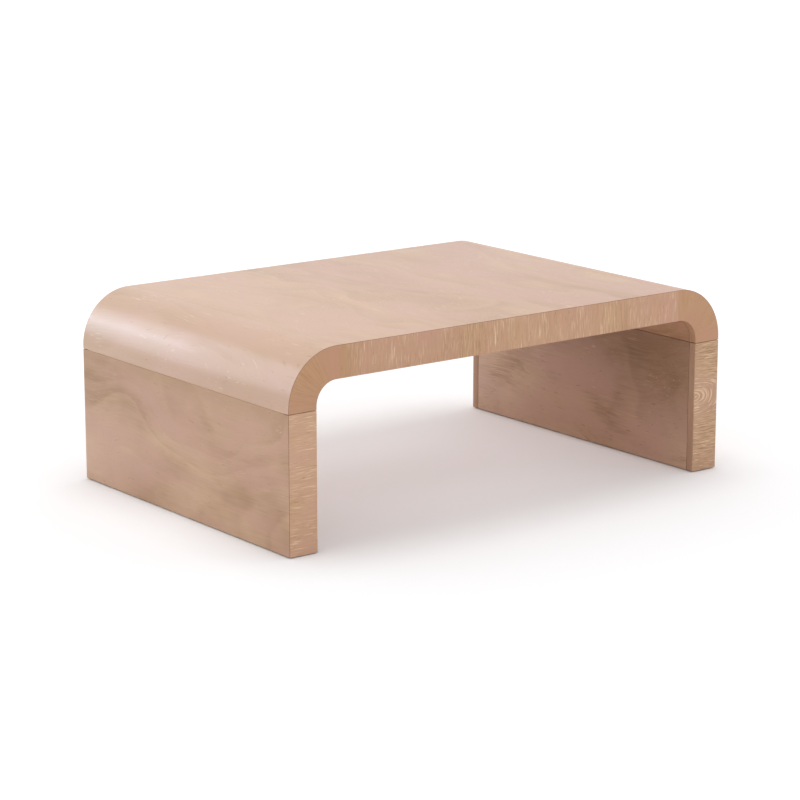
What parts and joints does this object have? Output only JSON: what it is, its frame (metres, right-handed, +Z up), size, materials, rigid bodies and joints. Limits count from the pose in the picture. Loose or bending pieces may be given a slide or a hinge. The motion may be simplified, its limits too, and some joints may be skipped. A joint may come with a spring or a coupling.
{
  "type": "waterfall coffee table",
  "caption": "Low waterfall coffee table: flat top running over rounded bends into full-depth slab legs, veneered hollow panels, legs bolted on below an open seam.",
  "frame": {"origin": "on the floor under the middle of the table", "axes": "+X along the table's length, +Y from front to rear, +Z up"},
  "size_m": [1.2, 0.8, 0.432],
  "materials": {
    "face_veneer": "washed pale veneer, satin lacquer",
    "edge_facing": "cross-grained facing, satin lacquer",
    "lining_veneer": "washed pale veneer, satin lacquer",
    "edge_strip": "solid strip, satin lacquer",
    "core_board": "raw plywood",
    "frame_timber": "raw planed softwood",
    "dowel_beech": "raw fluted beech",
    "zinc_steel": "zinc plated",
    "insert_brass": "turned brass",
    "glide_plastic": "moulded dark plastic"
  },
  "bodies": {
    "root": {"foot_glides": "glide_plastic", "left_bend_face_veneer": "face_veneer", "left_bend_front_cheek": "edge_strip", "left_bend_front_edge_facing": "edge_facing", "left_bend_inner_liner": "lining_veneer", "left_bend_outer_liner": "core_board", "left_bend_rear_cheek": "edge_strip", "left_bend_rear_edge_facing": "edge_facing", "left_bend_ribs": "frame_timber", "left_bend_seam_rail": "frame_timber", "left_bend_top_rail": "frame_timber", "left_leg_board": "core_board", "left_leg_face_veneer": "face_veneer", "left_leg_foot_rail": "frame_timber", "left_leg_front_edge_facing": "edge_facing", "left_leg_front_strip": "edge_strip", "left_leg_inner_panel": "lining_veneer", "left_leg_posts": "frame_timber", "left_leg_rear_edge_facing": "edge_facing", "left_leg_rear_strip": "edge_strip", "left_leg_top_rail": "frame_timber", "leg_bolt_washers": "zinc_steel", "leg_bolts": "zinc_steel", "leg_dowels": "dowel_beech", "right_bend_face_veneer": "face_veneer", "right_bend_front_cheek": "edge_strip", "right_bend_front_edge_facing": "edge_facing", "right_bend_inner_liner": "lining_veneer", "right_bend_outer_liner": "core_board", "right_bend_rear_cheek": "edge_strip", "right_bend_rear_edge_facing": "edge_facing", "right_bend_ribs": "frame_timber", "right_bend_seam_rail": "frame_timber", "right_bend_top_rail": "frame_timber", "right_leg_board": "core_board", "right_leg_face_veneer": "face_veneer", "right_leg_foot_rail": "frame_timber", "right_leg_front_edge_facing": "edge_facing", "right_leg_front_strip": "edge_strip", "right_leg_inner_panel": "lining_veneer", "right_leg_posts": "frame_timber", "right_leg_rear_edge_facing": "edge_facing", "right_leg_rear_strip": "edge_strip", "right_leg_top_rail": "frame_timber", "threaded_inserts": "insert_brass", "top_board": "core_board", "top_cross_rails": "frame_timber", "top_face_veneer": "face_veneer", "top_front_edge_facing": "edge_facing", "top_front_strip": "edge_strip", "top_joint_dowels": "dowel_beech", "top_left_end_rail": "frame_timber", "top_rear_edge_facing": "edge_facing", "top_rear_strip": "edge_strip", "top_right_end_rail": "frame_timber", "underside_panel": "lining_veneer"}
  },
  "joints": []
}
